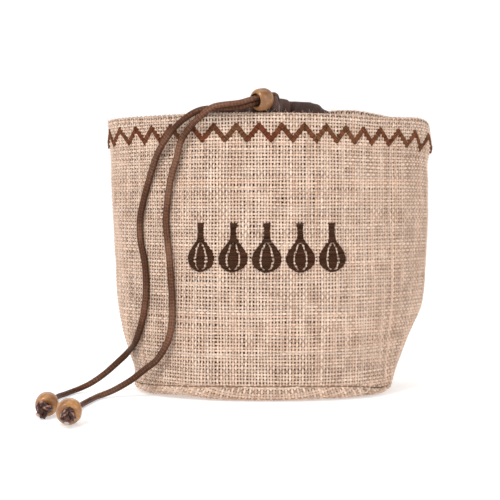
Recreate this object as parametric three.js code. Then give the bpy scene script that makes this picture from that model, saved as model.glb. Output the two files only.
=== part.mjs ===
// A drawstring storage bag of coarse woven jute, standing on its base with the mouth drawn in.
// The jute wall is a front and a back panel that meet at the side seams, with a hem folded over the
// rim, sewn to a rounded base panel. Inside the hem a dark lining collar runs in to a gathered ring.
// Two strands of round cord leave that ring through a wooden toggle bead, cross the rim and hang
// down the front to a knotted bead each.
// Millimetres, +Z up, +X to the right of the front view and the front towards -Y. The origin is on
// the floor under the middle of the bag.
import * as THREE from "three";

// Bag
const RIM_WIDTH = 185;
const RIM_DEPTH = 120;
const RIM_HEIGHT = 153;
const CLOTH = 2.2;
const HEM_THICKNESS = 4.2;
const HEM_DEPTH = 15;
const GAP = 0.3;

// Seam between wall and base, measured up from the floor
const SEAM_FRONT = 8.5;
const SEAM_SIDE = 5.5;
const SEAM_BACK = 7;
const BASE_ROUND = 7;

// Lining collar and its gathered ring
const LINING = 1.6;
const CASING_THICKNESS = 3.6;
const CASING_HEIGHT = 13;
const CASING_RISE = 7.5;
const RING_WIDTH = 68;
const RING_DEPTH = 46;
const RING_RIGHT = 3;
const RING_FORWARD = 24.5;
const PLEATS = 18;
const PLEAT_DEPTH = 2.6;

// Zigzag embroidery round the hem: how far its middle lies below the rim, then its sizes
const ZIGZAG_DROP = 9.7;
const ZIGZAG_HEIGHT = 10.1;
const ZIGZAG_PITCH = 12.3;
const ZIGZAG_STROKE = 2.4;
const ZIGZAG_THICKNESS = 0.6;

// Cord, beads and knots
const CORD = 3;
const CORD_CLEARANCE = 0.35;
const TOGGLE_DIAMETER = 11.6;
const TOGGLE_LENGTH = 9.5;
const TOGGLE_FROM_CASING = 8;
const END_BEADS = {
  a: { diameter: 11.5, length: 10, knot: 8.4 },
  b: { diameter: 12.4, length: 10.8, knot: 7.6 },
};

// Routes of the two strands from the casing, through the toggle, over the rim, down the front and
// along the floor to the front face of their end bead.
const STRAND_ROUTES = {
  a: [
    [2.3, -53.7, 159.6], [-4.5, -57.4, 158.1], [-9.8, -60, 156.7], [-15.7, -60.4, 155.2],
    [-24, -57.8, 154.8], [-34.8, -54.8, 154.6], [-39.6, -54.4, 153.2], [-43.9, -53, 150.8],
    [-50.9, -48.6, 145.3], [-57.8, -44.2, 136.4], [-61.5, -41, 129.5], [-65.5, -37.8, 117.7],
    [-68.6, -35.4, 107], [-70.8, -33.7, 96.2], [-70.5, -33.9, 85.3], [-68.3, -35.7, 74.5],
    [-67.4, -36.5, 63.7], [-67.7, -36.5, 52.9], [-69.6, -35, 41.9], [-73.4, -31, 30.5],
    [-78.9, -22, 22.6], [-85.1, -20, 16.5], [-93, -19, 9.6], [-99.9, -19.5, 5],
    [-105, -21.3, 2.7], [-108.8, -27.1, 1.8], [-111.6, -36.4, 1.7], [-113.7, -43, 1.7],
    [-114.9, -56, 1.7], [-114.3, -70, 2.7], [-113.2, -81, 5.2], [-112.1, -90.1, 6.6],
    [-111.7, -95, 5.9], [-111.3, -100, 5.2],
  ],
  b: [
    [1.6, -56.2, 161.7], [-5.2, -59.8, 160.4], [-10.8, -62.5, 158.9], [-16.3, -62.8, 157.3],
    [-24.2, -61.7, 156.4], [-30.8, -61, 154.9], [-37.1, -59, 150.1], [-42, -54.6, 145.7],
    [-47.5, -50.8, 138], [-49.9, -48.9, 129.2], [-53.1, -46.7, 118.6], [-55, -45.6, 107],
    [-55.9, -45.1, 96.3], [-55.1, -45.8, 85.7], [-53.9, -46.7, 75], [-53.2, -47.4, 64.4],
    [-52.6, -47.8, 53.8], [-52.6, -47.9, 44.2], [-53.5, -47.8, 36.7], [-55.9, -47.3, 29.6],
    [-61.2, -44.5, 21.2], [-68.3, -41, 15.3], [-75.7, -38.5, 9.4], [-84.9, -37.8, 4],
    [-89.9, -40.7, 2.2], [-92.7, -44.5, 1.7], [-95.2, -56.2, 1.7], [-97.7, -71.6, 1.7],
    [-98.4, -86, 2], [-98.3, -98, 4.2], [-98, -107, 6.2], [-97.7, -113.6, 6.7],
    [-97.2, -119, 6.4], [-96.7, -124.4, 6.1],
  ],
};

// Steps of the faceted surfaces
const WALL_SIDES = PLEATS * 4;
const WALL_ROWS = 12;
const ZIGZAG_STATIONS = 4;
const BEAD_SIDES = 16;
const KNOT_SIDES = 10;
const CORD_SIDES = 8;
const CORD_STEP = 2.6 * CORD;

// Plan of the bag at shares of its height. Left, right, front and back are shares of half the rim's
// width or depth. Corner is the exponent of the plan's curve: 2 is an ellipse, less is pinched in
// at the side seams.
const SECTIONS = [
  { name: "floor", height: 0, left: 0.82, right: 0.735, front: 0.935, back: 0.9, corner: 2.4 },
  { name: "seam", height: 0.045, left: 0.82, right: 0.75, front: 0.945, back: 0.915, corner: 2.35 },
  { name: "foot", height: 0.11, left: 0.843, right: 0.788, front: 0.965, back: 0.94, corner: 2.2 },
  { name: "flank", height: 0.22, left: 0.898, right: 0.864, front: 0.99, back: 0.98, corner: 2 },
  { name: "knuckle", height: 0.32, left: 0.933, right: 0.937, front: 1.01, back: 1.01, corner: 1.86 },
  { name: "belly", height: 0.45, left: 0.945, right: 0.953, front: 1.03, back: 1.04, corner: 1.78 },
  { name: "chest", height: 0.64, left: 0.961, right: 0.967, front: 1.035, back: 1.045, corner: 1.72 },
  { name: "shoulder", height: 0.84, left: 0.979, right: 0.97, front: 1.01, back: 1.01, corner: 1.66 },
  { name: "flare", height: 0.92, left: 0.995, right: 0.998, front: 1, back: 1, corner: 1.6 },
  { name: "rim", height: 1, left: 1, right: 0.985, front: 0.995, back: 1, corner: 1.6 },
];

// Soft folds and dents of the wall. Angle is in degrees anticlockwise from the right side seam, so
// the front is 270. Out is a share of the rim's depth, and low and high are shares of the height.
const FOLDS = [
  { name: "left_front_ridge", angle: 243, width: 9, out: 0.016, low: 0.2, high: 1.0 },
  { name: "left_front_hollow", angle: 222, width: 14, out: -0.014, low: 0.1, high: 0.95 },
  { name: "right_front_hollow", angle: 312, width: 18, out: -0.012, low: 0.3, high: 0.95 },
  { name: "right_low_dent", angle: 335, width: 16, out: -0.016, low: 0.05, high: 0.42 },
  { name: "front_low_hollow", angle: 262, width: 12, out: -0.009, low: 0.04, high: 0.4 },
  { name: "back_left_ridge", angle: 128, width: 11, out: 0.015, low: 0.25, high: 1.0 },
  { name: "back_middle_hollow", angle: 98, width: 17, out: -0.017, low: 0.3, high: 1.0 },
  { name: "back_right_ridge", angle: 62, width: 12, out: 0.013, low: 0.1, high: 0.9 },
  { name: "back_low_dent", angle: 150, width: 15, out: -0.016, low: 0.05, high: 0.5 },
];

// Where the rim stands higher, or lower where rise is negative, as shares of the hem's depth.
const RIM_WAVES = [
  { name: "right_seam", angle: 0, width: 13, rise: -0.25 },
  { name: "back_right", angle: 56, width: 24, rise: 0.46 },
  { name: "back_left", angle: 120, width: 20, rise: -0.12 },
  { name: "left_seam", angle: 180, width: 10, rise: -0.07 },
  { name: "front_right", angle: 312, width: 14, rise: -0.05 },
];

// Where the gathered ring stands higher or lower, as shares of the casing's height.
const RING_WAVES = [
  { name: "cord_exit", angle: 266, width: 9, rise: 0.2 },
  { name: "left_sag", angle: 225, width: 24, rise: -0.45 },
  { name: "right_slope", angle: 330, width: 26, rise: -0.4 },
  { name: "right_end", angle: 350, width: 18, rise: -0.25 },
  { name: "back_sag", angle: 120, width: 45, rise: -0.25 },
];

// Lining collar from the hem in to the top of its gathered ring. Inward is the share of the way
// from the wall to the ring, rise the share of the climb from below the hem to the casing's top,
// and pleat the share of the full pleat depth.
const COLLAR_SECTIONS = [
  { name: "under_hem", inward: 0, rise: 0, thickness: LINING, pleat: 0 },
  { name: "hem_edge", inward: 0.04, rise: 0.01, thickness: LINING, pleat: 0.04 },
  { name: "shallow", inward: 0.3, rise: 0.08, thickness: LINING, pleat: 0.3 },
  { name: "slope", inward: 0.55, rise: 0.2, thickness: LINING, pleat: 0.55 },
  { name: "neck", inward: 0.8, rise: 0.34, thickness: LINING * 1.3, pleat: 0.85 },
  { name: "casing_foot", inward: 0.95, rise: 0.5, thickness: CASING_THICKNESS, pleat: 1 },
  { name: "casing_waist", inward: 1, rise: 0.75, thickness: CASING_THICKNESS, pleat: 1 },
  { name: "casing_lip", inward: 0.98, rise: 1, thickness: CASING_THICKNESS * 0.6, pleat: 0.8 },
];

const radians = THREE.MathUtils.degToRad;
const lerp = THREE.MathUtils.lerp;
const signedPower = (value, power) => Math.sign(value) * Math.abs(value) ** power;

// 1 at the middle of a bump and 0 at three widths from it, round the ring.
function bump(angle, middle, width) {
  const away = Math.abs(((angle - middle + 540) % 360) - 180) / width;
  return Math.exp(-away * away);
}

// A column of a table at a share of the height, on a smooth curve through its rows.
function columnAt(rows, key, column, share) {
  const last = rows.length - 1;
  let i = 0;
  while (i < last - 1 && rows[i + 1][key] < share) i++;
  const slope = (k) => {
    const low = rows[Math.max(k - 1, 0)];
    const high = rows[Math.min(k + 1, last)];
    return (high[column] - low[column]) / (high[key] - low[key]);
  };
  const span = rows[i + 1][key] - rows[i][key];
  const t = THREE.MathUtils.clamp((share - rows[i][key]) / span, 0, 1);
  const curve = t * t * (3 - 2 * t);
  return (
    lerp(rows[i][column], rows[i + 1][column], curve) +
    span * (slope(i) * t * (1 - t) ** 2 - slope(i + 1) * t * t * (1 - t))
  );
}

// Sum of the rises of a table of waves at an angle.
function waveAt(waves, angle) {
  return waves.reduce((sum, wave) => sum + wave.rise * bump(angle, wave.angle, wave.width), 0);
}

// How far the folds push the wall out at an angle and a share of the height.
function foldAt(angle, share) {
  let out = 0;
  for (const fold of FOLDS) {
    const t = (share - fold.low) / (fold.high - fold.low);
    if (t > 0 && (t < 1 || fold.high === 1)) {
      const fade = fold.high === 1 ? Math.sin(Math.min(t * 1.5, 1) * (Math.PI / 2)) : Math.sin(t * Math.PI);
      out += fold.out * RIM_DEPTH * fade * bump(angle, fold.angle, fold.width);
    }
  }
  return out;
}

// A point of the wall at an angle and height, inset from its outer face.
function wallPoint(angle, height, inset) {
  const share = height / RIM_HEIGHT;
  const along = (column) => columnAt(SECTIONS, "height", column, share);
  const c = Math.cos(radians(angle));
  const s = Math.sin(radians(angle));
  const power = 2 / along("corner");
  const halfX = (RIM_WIDTH / 2) * along(c > 0 ? "right" : "left") - inset;
  const halfY = (RIM_DEPTH / 2) * along(s > 0 ? "back" : "front") - inset;
  const point = new THREE.Vector3(halfX * signedPower(c, power), halfY * signedPower(s, power), 0);
  point.setLength(point.length() + foldAt(angle, share));
  point.z = height + waveAt(RIM_WAVES, angle) * HEM_DEPTH * share ** 4;
  return point;
}

// Height of the seam between wall and base at an angle.
function seamHeight(angle) {
  const s = Math.sin(radians(angle));
  return lerp(SEAM_SIDE, s > 0 ? SEAM_BACK : SEAM_FRONT, s * s);
}

// A closed body lofted through rings of as many points each. Without a cap the last ring joins the
// first. With one, the two end rings are closed, and cap is their outline flattened.
function bodyFromRings(rings, cap) {
  const sides = rings[0].length;
  const vertices = rings.flat().flatMap((p) => [p.x, p.y, p.z]);
  const faces = [];
  const bands = cap ? rings.length - 1 : rings.length;
  for (let r = 0; r < bands; r++) {
    const next = (r + 1) % rings.length;
    for (let i = 0; i < sides; i++) {
      const j = (i + 1) % sides;
      const [a, b, c, d] = [r * sides + i, r * sides + j, next * sides + j, next * sides + i];
      faces.push(a, b, c, a, c, d);
    }
  }
  if (cap) {
    const lastRing = (rings.length - 1) * sides;
    for (const [a, b, c] of THREE.ShapeUtils.triangulateShape(cap, [])) {
      faces.push(c, b, a, lastRing + a, lastRing + b, lastRing + c);
    }
  }
  const geometry = new THREE.BufferGeometry();
  geometry.setAttribute("position", new THREE.Float32BufferAttribute(vertices, 3));
  geometry.setIndex(faces);
  return geometry;
}

const ringOf = (sides, point) => Array.from({ length: sides }, (_, i) => point((360 * i) / sides));

// The wall's section at an angle, as heights and insets: down the outer face from the folded rim,
// then up the inner face and the hem's inner face.
function wallSection(angle) {
  const foldRadius = HEM_THICKNESS / 2;
  const top = RIM_HEIGHT - foldRadius;
  const hemFoot = RIM_HEIGHT - HEM_DEPTH;
  const foot = seamHeight(angle) + GAP / 2;
  const innerRows = WALL_ROWS / 2;
  const section = [];
  for (let row = 0; row <= WALL_ROWS; row++) {
    section.push({ height: lerp(top, foot, row / WALL_ROWS), inset: 0 });
  }
  for (let row = 0; row <= innerRows; row++) {
    section.push({ height: lerp(foot, hemFoot, row / innerRows), inset: CLOTH });
  }
  for (const height of [hemFoot, top]) section.push({ height, inset: HEM_THICKNESS });
  for (const turn of [135, 90, 45]) {
    section.push({
      height: top + foldRadius * Math.sin(radians(turn)),
      inset: foldRadius * (1 - Math.cos(radians(turn))),
    });
  }
  return section;
}

// One of the two jute panels of the sleeve, from a side seam round to the other.
function panelGeometry(startAngle) {
  const steps = WALL_SIDES / 2;
  const rings = [];
  for (let i = 0; i <= steps; i++) {
    const angle = startAngle + (180 * i) / steps;
    const atSeam = i === 0 || i === steps;
    const side = startAngle === 0 ? 1 : -1;
    rings.push(
      wallSection(angle).map(({ height, inset }) => {
        const point = wallPoint(angle % 360, height, inset);
        if (atSeam) point.y = (side * GAP) / 2;
        return point;
      }),
    );
  }
  const outline = wallSection(startAngle).map(({ height, inset }) => new THREE.Vector2(inset, height));
  return bodyFromRings(rings, outline);
}

// The base panel: a flat floor whose edge turns up to the seam.
function baseGeometry() {
  const turns = [0, 30, 60, 90];
  const floorShares = [0.55, 0.12];
  const edge = (angle, turn, thickness) => {
    const c = Math.cos(radians(turn));
    const s = Math.sin(radians(turn));
    const climb = seamHeight(angle) - GAP / 2;
    const point = wallPoint(angle, climb, BASE_ROUND * (1 - c) + thickness * c);
    point.z = climb * (1 - s) + thickness * s;
    return point;
  };
  const flat = (angle, share, thickness) => {
    const point = edge(angle, 90, thickness);
    const middleX = (edge(0, 90, thickness).x + edge(180, 90, thickness).x) / 2;
    point.x = lerp(middleX, point.x, share);
    point.y *= share;
    return point;
  };
  const rings = [];
  for (const share of floorShares.toReversed()) {
    rings.push(ringOf(WALL_SIDES, (angle) => flat(angle, share, 0)));
  }
  for (const turn of turns.toReversed()) rings.push(ringOf(WALL_SIDES, (angle) => edge(angle, turn, 0)));
  for (const turn of turns) rings.push(ringOf(WALL_SIDES, (angle) => edge(angle, turn, CLOTH)));
  for (const share of floorShares) rings.push(ringOf(WALL_SIDES, (angle) => flat(angle, share, CLOTH)));
  return bodyFromRings(rings, rings[0].map((p) => new THREE.Vector2(p.x, p.y)));
}

// A point of the gathered ring's middle line, in plan.
function ringPoint(angle) {
  const c = Math.cos(radians(angle));
  const s = Math.sin(radians(angle));
  return new THREE.Vector3(RING_RIGHT + (RING_WIDTH / 2) * c, -RING_FORWARD + (RING_DEPTH / 2) * s, 0);
}

// The dark lining collar, pleated more the nearer it runs to its gathered ring.
function collarGeometry() {
  const hemFoot = RIM_HEIGHT - HEM_DEPTH - GAP - LINING;
  const climb = RIM_HEIGHT + CASING_RISE - hemFoot;
  const middle = (angle, row) => {
    const inset = row.inward === 0 ? CLOTH + 2 * GAP : HEM_THICKNESS + GAP + LINING;
    const outer = wallPoint(angle, hemFoot, inset);
    const point = outer.clone().lerp(ringPoint(angle), row.inward);
    point.z = outer.z + (climb + CASING_HEIGHT * waveAt(RING_WAVES, angle)) * row.rise;
    return point;
  };
  const faceRing = (index, side) =>
    ringOf(WALL_SIDES, (angle) => {
      const row = COLLAR_SECTIONS[index];
      const before = middle(angle, COLLAR_SECTIONS[Math.max(index - 1, 0)]);
      const after = middle(angle, COLLAR_SECTIONS[Math.min(index + 1, COLLAR_SECTIONS.length - 1)]);
      const point = middle(angle, row);
      const way = after.sub(before).normalize();
      const inward = ringPoint(angle).sub(wallPoint(angle, hemFoot, 0)).setZ(0).normalize();
      const normal = new THREE.Vector3(0, 0, way.dot(inward)).addScaledVector(inward, -way.z).normalize();
      const wave = row.pleat * PLEAT_DEPTH * Math.cos(radians(PLEATS * angle));
      return point.addScaledVector(normal, wave + (side * row.thickness) / 2);
    });
  const up = COLLAR_SECTIONS.map((_, index) => faceRing(index, 1));
  const down = COLLAR_SECTIONS.map((_, index) => faceRing(index, -1));
  return bodyFromRings([...up, ...down.toReversed()]);
}

// Angles that part the wall's girth at a height into equal runs, from the middle of the front.
function evenAngles(count, height) {
  const samples = WALL_SIDES * 10;
  const angles = Array.from({ length: samples + 1 }, (_, i) => 270 + (360 * i) / samples);
  const along = [0];
  for (let i = 1; i <= samples; i++) {
    const step = wallPoint(angles[i], height, 0).distanceTo(wallPoint(angles[i - 1], height, 0));
    along.push(along[i - 1] + step);
  }
  let i = 0;
  return Array.from({ length: count }, (_, k) => {
    const target = (along[samples] * k) / count;
    while (along[i + 1] < target) i++;
    return lerp(angles[i], angles[i + 1], (target - along[i]) / (along[i + 1] - along[i])) % 360;
  });
}

// The zigzag: one raised stroke that runs round the hem, its lower tips first.
function zigzagGeometry() {
  const middle = RIM_HEIGHT - ZIGZAG_DROP;
  const samples = ringOf(WALL_SIDES, (angle) => wallPoint(angle, middle, 0));
  const girth = samples.reduce((sum, p, i) => sum + p.distanceTo(samples[(i + 1) % samples.length]), 0);
  const teeth = Math.round(girth / ZIGZAG_PITCH);
  const slope = Math.atan2(ZIGZAG_HEIGHT - 2 * ZIGZAG_STROKE, girth / teeth / 2);
  const halfStroke = ZIGZAG_STROKE / 2 / Math.cos(slope);
  const amplitude = ZIGZAG_HEIGHT / 2 - halfStroke;
  const angles = evenAngles(teeth * ZIGZAG_STATIONS, middle);
  const edge = (side, inset) =>
    angles.map((angle, k) => {
      const phase = (2 * (k % ZIGZAG_STATIONS)) / ZIGZAG_STATIONS;
      const height = amplitude * (1 - 2 * Math.abs(1 - phase)) + side * halfStroke;
      return wallPoint(angle, middle + height, inset);
    });
  const inner = -GAP;
  const outer = -GAP - ZIGZAG_THICKNESS;
  return bodyFromRings([edge(-1, outer), edge(1, outer), edge(1, inner), edge(-1, inner)]);
}

// A length of round cord along a route of points.
const routeCurve = (points) => new THREE.CatmullRomCurve3(points.map((p) => new THREE.Vector3(...p)));

function cordGeometry(curve) {
  const section = new THREE.Shape();
  for (let i = 0; i < CORD_SIDES; i++) {
    const turn = (2 * Math.PI * i) / CORD_SIDES;
    const [x, y] = [(CORD / 2) * Math.cos(turn), (CORD / 2) * Math.sin(turn)];
    if (i === 0) section.moveTo(x, y);
    else section.lineTo(x, y);
  }
  const steps = Math.round(curve.getLength() / CORD_STEP);
  return new THREE.ExtrudeGeometry(section, { steps, extrudePath: curve, curveSegments: 1 });
}

// A turned barrel bead with a bore, along +Y before it is placed.
function beadGeometry(diameter, length, bore) {
  const shares = [
    [0.66, 0.5],
    [0.88, 0.4],
    [1, 0.14],
    [1, -0.14],
    [0.88, -0.4],
    [0.66, -0.5],
  ];
  const profile = shares.map(([r, y]) => new THREE.Vector2((diameter / 2) * r, -length * y));
  const mouths = [new THREE.Vector2(bore / 2, length / 2), new THREE.Vector2(bore / 2, -length / 2)];
  return new THREE.LatheGeometry([...profile, ...mouths, profile[0]], BEAD_SIDES);
}

// A tied cord end: a round lump with a short stub of cord past it, along +Y from its tied face.
function knotGeometry(diameter) {
  const profile = [
    [0, 0],
    [0.27, 0.03],
    [0.48, 0.24],
    [0.5, 0.5],
    [0.42, 0.76],
    [0.24, 0.94],
    [0, 0.98],
  ];
  return new THREE.LatheGeometry(
    profile.map(([r, y]) => new THREE.Vector2(r * diameter, y * diameter)),
    KNOT_SIDES,
  );
}

// Turns a mesh's +Y to a direction and sets its place.
function place(mesh, point, direction) {
  mesh.position.copy(point);
  mesh.quaternion.setFromUnitVectors(new THREE.Vector3(0, 1, 0), direction.clone().normalize());
}

const jute = new THREE.MeshStandardMaterial({ color: 0xcdb094, roughness: 0.95 });
const embroidery = new THREE.MeshStandardMaterial({ color: 0x6e4128, roughness: 0.6 });
const lining = new THREE.MeshStandardMaterial({ color: 0x2b2523, roughness: 0.85 });
const cord = new THREE.MeshStandardMaterial({ color: 0x5f4134, roughness: 0.55 });
const wood = new THREE.MeshStandardMaterial({ color: 0xb9803f, roughness: 0.45 });

const bag = new THREE.Group();

function addMesh(name, geometry, material) {
  const mesh = new THREE.Mesh(geometry, material.clone());
  mesh.name = name;
  bag.add(mesh);
  return mesh;
}

addMesh("front_panel", panelGeometry(180), jute);
addMesh("back_panel", panelGeometry(0), jute);
addMesh("base_panel", baseGeometry(), jute);
addMesh("zigzag_stitch", zigzagGeometry(), embroidery);
addMesh("lining_collar", collarGeometry(), lining);

// Strands, with a bead and a knot on the end of each
const strands = Object.fromEntries(
  Object.entries(STRAND_ROUTES).map(([key, points]) => [key, routeCurve(points)]),
);
for (const [key, curve] of Object.entries(strands)) {
  const { diameter, length, knot } = END_BEADS[key];
  const route = curve.getLength();
  addMesh(`cord_strand_${key}`, cordGeometry(curve), cord);
  const beadAt = 1 - length / 2 / route;
  const bead = addMesh(`end_bead_${key}`, beadGeometry(diameter, length, CORD + 2 * CORD_CLEARANCE), wood);
  place(bead, curve.getPointAt(beadAt), curve.getTangentAt(beadAt));
  const lastWay = curve.getTangentAt(beadAt);
  const knotMesh = addMesh(`end_knot_${key}`, knotGeometry(knot), cord);
  place(knotMesh, curve.getPointAt(1).addScaledVector(lastWay, GAP), lastWay);
}

// Toggle bead, with both strands through its bore
const toggleSpots = Object.values(strands).map((curve) => TOGGLE_FROM_CASING / curve.getLength());
const [spotA, spotB] = [strands.a.getPointAt(toggleSpots[0]), strands.b.getPointAt(toggleSpots[1])];
const toggleWay = strands.a.getTangentAt(toggleSpots[0]).add(strands.b.getTangentAt(toggleSpots[1]));
const toggleBore = spotA.distanceTo(spotB) + CORD + 2 * CORD_CLEARANCE;
const toggle = addMesh("toggle_bead", beadGeometry(TOGGLE_DIAMETER, TOGGLE_LENGTH, toggleBore), wood);
place(toggle, spotA.clone().lerp(spotB, 0.5), toggleWay);

export default bag;
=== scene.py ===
import math

import bpy
import numpy as np
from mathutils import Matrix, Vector


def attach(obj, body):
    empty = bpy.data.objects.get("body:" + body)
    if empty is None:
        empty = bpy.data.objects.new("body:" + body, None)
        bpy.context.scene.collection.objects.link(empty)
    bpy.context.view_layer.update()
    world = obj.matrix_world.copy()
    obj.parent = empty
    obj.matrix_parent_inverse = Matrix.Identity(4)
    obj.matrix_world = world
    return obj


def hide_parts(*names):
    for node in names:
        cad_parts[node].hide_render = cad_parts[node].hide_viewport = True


# The looks of a drawstring storage bag of woven jute. Lengths are worked out in millimetres in the
# bag's own frame, as the CAD states them, and turned to metres where a mesh is made.
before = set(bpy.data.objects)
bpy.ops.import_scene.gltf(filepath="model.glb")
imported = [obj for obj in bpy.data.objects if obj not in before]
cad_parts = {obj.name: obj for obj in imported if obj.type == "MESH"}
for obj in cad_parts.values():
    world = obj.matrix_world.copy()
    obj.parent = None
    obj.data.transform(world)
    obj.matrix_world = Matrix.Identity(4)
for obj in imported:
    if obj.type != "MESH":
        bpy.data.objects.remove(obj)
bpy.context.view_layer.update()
MM = 0.001
rng = np.random.default_rng(7)

# Sizes that the CAD states, in millimetres
RIM_WIDTH = 185.0
RIM_DEPTH = 120.0
RIM_HEIGHT = 153.0
CLOTH = 2.2
HEM_THICKNESS = 4.2
HEM_DEPTH = 15.0
GAP = 0.3
SEAM_FRONT = 8.5
SEAM_SIDE = 5.5
SEAM_BACK = 7.0
BASE_ROUND = 7.0
LINING = 1.6
CASING_THICKNESS = 3.6
CASING_HEIGHT = 13.0
CASING_RISE = 9.5
RING_WIDTH = 68.0
RING_DEPTH = 46.0
RING_RIGHT = 3.0
RING_FORWARD = 24.5
ZIGZAG_DROP = 10.9
ZIGZAG_HEIGHT = 10.8
ZIGZAG_PITCH = 12.3
ZIGZAG_STROKE = 2.75
CORD = 3.0
CORD_CLEARANCE = 0.35
TOGGLE_DIAMETER = 11.6
TOGGLE_LENGTH = 9.5
TOGGLE_FROM_CASING = 8.0
END_BEADS = {
    "a": {"diameter": 11.5, "length": 10.0, "knot": 8.4},
    "b": {"diameter": 12.4, "length": 10.8, "knot": 7.6},
}

# Plan of the bag at shares of its height, as the CAD has it
SECTION_COLUMNS = ("height", "left", "right", "front", "back", "corner")
SECTIONS = (
    (0.0, 0.82, 0.735, 0.935, 0.9, 2.4),
    (0.045, 0.82, 0.75, 0.945, 0.915, 2.35),
    (0.11, 0.843, 0.788, 0.965, 0.94, 2.2),
    (0.22, 0.898, 0.864, 0.99, 0.98, 2.0),
    (0.32, 0.933, 0.937, 1.01, 1.01, 1.86),
    (0.45, 0.945, 0.953, 1.03, 1.04, 1.78),
    (0.64, 0.961, 0.967, 1.035, 1.045, 1.72),
    (0.84, 0.979, 0.97, 1.01, 1.01, 1.66),
    (0.92, 0.995, 0.998, 1.0, 1.0, 1.6),
    (1.0, 1.0, 0.985, 0.995, 1.0, 1.6),
)
# Folds: angle, width, out, low, high
FOLDS = (
    (243, 9, 0.016, 0.2, 1.0),
    (222, 14, -0.014, 0.1, 0.95),
    (312, 18, -0.012, 0.3, 0.95),
    (335, 16, -0.016, 0.05, 0.42),
    (262, 12, -0.009, 0.04, 0.4),
    (128, 11, 0.015, 0.25, 1.0),
    (98, 17, -0.017, 0.3, 1.0),
    (62, 12, 0.013, 0.1, 0.9),
    (150, 15, -0.016, 0.05, 0.5),
)
# Waves of the rim and of the gathered ring: angle, width, rise
RIM_WAVES = ((0, 11, -0.27), (56, 24, 0.62), (122, 20, -0.02), (180, 10, -0.07), (312, 14, -0.05))
RING_WAVES = ((266, 11, 0.13), (225, 24, -0.45), (345, 28, -0.3), (120, 45, -0.25))

# Routes of the two strands, as the CAD has them
STRAND_ROUTES = {
    "a": (
        (2.3, -53.7, 159.6), (-4.5, -57.4, 158.1), (-9.8, -60, 156.7), (-15.7, -60.4, 155.2),
        (-24, -57.8, 154.8), (-34.8, -54.8, 154.6), (-39.6, -54.4, 153.2), (-43.9, -53, 150.8),
        (-50.9, -48.6, 145.3), (-57.8, -44.2, 136.4), (-61.5, -41, 129.5), (-65.5, -37.8, 117.7),
        (-68.6, -35.4, 107), (-70.8, -33.7, 96.2), (-70.5, -33.9, 85.3), (-68.3, -35.7, 74.5),
        (-67.4, -36.5, 63.7), (-67.7, -36.5, 52.9), (-69.6, -35, 41.9), (-73.4, -31, 30.5),
        (-78.9, -22, 22.6), (-85.1, -20, 16.5), (-93, -19, 9.6), (-99.9, -19.5, 5),
        (-105, -21.3, 2.7), (-108.8, -27.1, 1.8), (-111.6, -36.4, 1.7), (-113.7, -43, 1.7),
        (-114.9, -56, 1.7), (-114.3, -70, 2.7), (-113.2, -81, 5.2), (-112.1, -90.1, 6.6),
        (-111.7, -95, 5.9), (-111.3, -100, 5.2),
    ),
    "b": (
        (1.6, -56.2, 161.7), (-5.2, -59.8, 160.4), (-10.8, -62.5, 158.9), (-16.3, -62.8, 157.3),
        (-24.2, -61.7, 156.4), (-30.8, -61, 154.9), (-37.1, -59, 150.1), (-42, -54.6, 145.7),
        (-47.5, -50.8, 138), (-49.9, -48.9, 129.2), (-53.1, -46.7, 118.6), (-55, -45.6, 107),
        (-55.9, -45.1, 96.3), (-55.1, -45.8, 85.7), (-53.9, -46.7, 75), (-53.2, -47.4, 64.4),
        (-52.6, -47.8, 53.8), (-52.6, -47.9, 44.2), (-53.5, -47.8, 36.7), (-55.9, -47.3, 29.6),
        (-61.2, -44.5, 21.2), (-68.3, -41, 15.3), (-75.7, -38.5, 9.4), (-84.9, -37.8, 4),
        (-89.9, -40.7, 2.2), (-92.7, -44.5, 1.7), (-95.2, -56.2, 1.7), (-97.7, -71.6, 1.7),
        (-98.4, -86, 2), (-98.3, -98, 4.2), (-98, -107, 6.2), (-97.7, -113.6, 6.7),
        (-97.2, -119, 6.4), (-96.7, -124.4, 6.1),
    ),
}

# Sizes of what only the eye sees, in millimetres
WARP_PITCH = 1.7
WEFT_PITCH = 1.8
THREAD_WIDTH = 1.25
THREAD_HEIGHT = 0.8
THREAD_SIDES = 5
WEAVE_RISE = 0.46
WEAVE_INSET = 0.85
LINING_OUT = 1.8
LINING_IN = 2.2
SEAM_TUCK = 0.8
# How much lighter each thread is painted on its outward side and darker on its inner side, as painted light and shade
CROWN_PAINTED_LIGHT = 0.23
SIDE_FULLNESS = 1.0
STITCH_PITCH = 0.43
FOOT_LIFTS = ((229, 15, 1.3), (291, 12, 0.5), (318, 9, 0.5))
# How far the cloth stands out or in near its low corners: angle, width, out, height, reach
CORNER_FULLNESS = ((200, 22, 2.6, 1, 7), (202, 18, -1.6, 13, 6), (330, 17, 1.3, 2, 12), (0, 24, 0.9, 24, 20))
# Where the base seam runs lower or higher than it is sewn: angle, width, rise
SEAM_WAVES = ((328, 15, -1.5),)
FIBRE_COUNT = 1600
BRAID_PITCH = 3.4
# The cord lies a little flattened, its flat side this way, by share of its length
CORD_FACE = (0, -1, 0.6)
CORD_DARKER = ((0, 0.08), (0.15, 0.1), (0.3, 0.03), (0.55, 0.1), (0.7, 0.16), (1, 0.14))
# Painted shade: strand a of the cord is painted darker and strand b lighter.
CORD_SHADES = {"a": -0.08, "b": 0.02}
CORD_FLATNESS = ((0, 1), (0.08, 1), (0.15, 1.22), (0.66, 1.26), (0.8, 0.93), (0.93, 0.93), (1, 0.93))
KNOT_SHIFTS = {"a": (-0.8, 0, 0), "b": (0, 0, 0)}
KNOT_TURNS = {"a": 0.4, "b": 1.7}
KNOT_TAILS = {"a": (-2.6, -2.4, -1.0), "b": (-0.3, -2.6, -2.2)}
STRAND_ROOTS = {
    "a": ((4.4, -46.4, 155.8), (3.7, -50.2, 158.2)),
    "b": ((3.8, -48.2, 156.4), (3.1, -52.4, 159.7)),
}

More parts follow.
